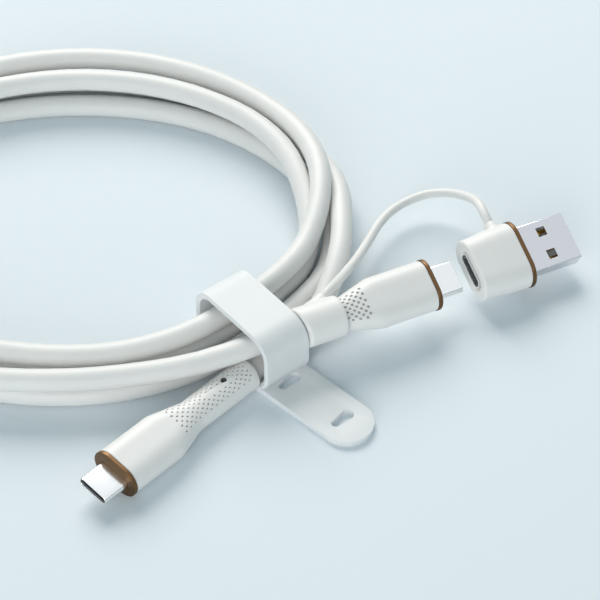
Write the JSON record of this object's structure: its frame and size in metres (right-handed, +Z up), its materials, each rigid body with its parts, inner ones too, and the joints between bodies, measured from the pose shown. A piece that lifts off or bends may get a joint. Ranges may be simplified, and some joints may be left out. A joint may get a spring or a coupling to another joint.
{
  "type": "charging cable",
  "caption": "Coiled white charging cable in a silicone strap, with a USB-C plug at each end and a tethered adapter from USB-C to USB-A.",
  "frame": {"origin": "middle of the strap's underside, on the surface that the coiled cable lies on", "axes": "+X to the right along the adapter's side of the coil, +Y away from the side where the first plug points, +Z up out of the surface"},
  "size_m": [0.1875, 0.1468, 0.0158],
  "materials": {
    "jacket": "matt white silicone-feel cable jacket",
    "moulding": "satin white moulded overmould",
    "strap": "matt pale grey silicone",
    "steel": "bright nickel-plated steel",
    "copper_ring": "anodised copper-brown ring",
    "dark_nylon": "black glass-filled nylon",
    "white_nylon": "grey-white nylon block",
    "gold": "gold-plated contacts",
    "board": "green circuit board",
    "chip": "black chip package",
    "inner_mould": "translucent-white inner mould",
    "core": "wire bundle under foil and braid"
  },
  "bodies": {
    "cable": {"cable_coil": "jacket", "strap": "strap", "plug_a_shell": "steel", "plug_a_insulator": "dark_nylon", "plug_a_contacts": "gold", "plug_a_latches": "steel", "plug_a_card": "board", "plug_a_chip": "chip", "plug_a_inner_mould": "inner_mould", "plug_a_core": "core", "plug_a_ring": "copper_ring", "plug_a_body": "moulding", "plug_a_relief": "moulding", "plug_b_shell": "steel", "plug_b_insulator": "dark_nylon", "plug_b_contacts": "gold", "plug_b_latches": "steel", "plug_b_card": "board", "plug_b_chip": "chip", "plug_b_inner_mould": "inner_mould", "plug_b_core": "core", "plug_b_ring": "copper_ring", "plug_b_body": "moulding", "plug_b_relief": "moulding", "tether_collar": "jacket", "tether_cord": "jacket"},
    "adapter": {"adapter_body": "moulding", "adapter_ring": "copper_ring", "adapter_board": "board", "usb_a_shell": "steel", "usb_a_insulator": "white_nylon", "usb_a_contacts": "gold", "socket_shell": "steel", "socket_tongue": "dark_nylon", "socket_contacts": "gold"}
  },
  "joints": [
    {"name": "adapter_slide", "type": "slide", "parent": "cable", "child": "adapter", "axis": [0.8817, 0.4688, -0.0523], "range_m": [-0.0105, 0.003], "deforming": ["tether_cord"]}
  ]
}
